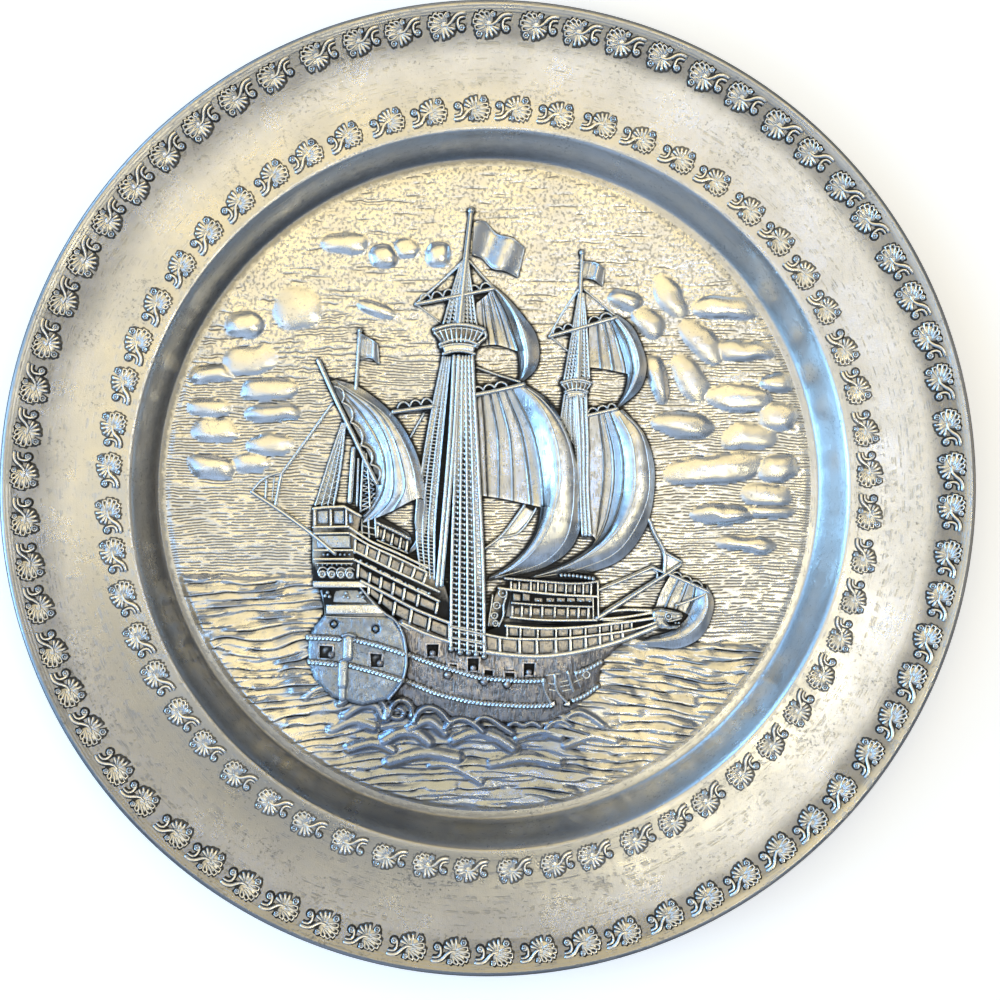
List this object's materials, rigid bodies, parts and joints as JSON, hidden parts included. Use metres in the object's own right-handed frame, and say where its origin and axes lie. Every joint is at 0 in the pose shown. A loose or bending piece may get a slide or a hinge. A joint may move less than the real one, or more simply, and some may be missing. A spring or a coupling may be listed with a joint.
{
  "type": "pewter plate",
  "caption": "Round cast pewter display plate with a raised rim, stamped leaf rings and a sailing ship in relief in its well.",
  "frame": {"origin": "centre of the flat underside, on the plate's axis", "axes": "+Z out of the face, along the plate's axis; +Y towards the top of the picture; +X towards the ship's bow, right of the picture"},
  "size_m": [0.28, 0.28, 0.0209],
  "materials": {
    "pewter": "aged pewter: satin grey, near-black patina in every recess and rubbed bright on the high places"
  },
  "bodies": {
    "root": {"pewter_plate": "pewter"}
  },
  "joints": []
}
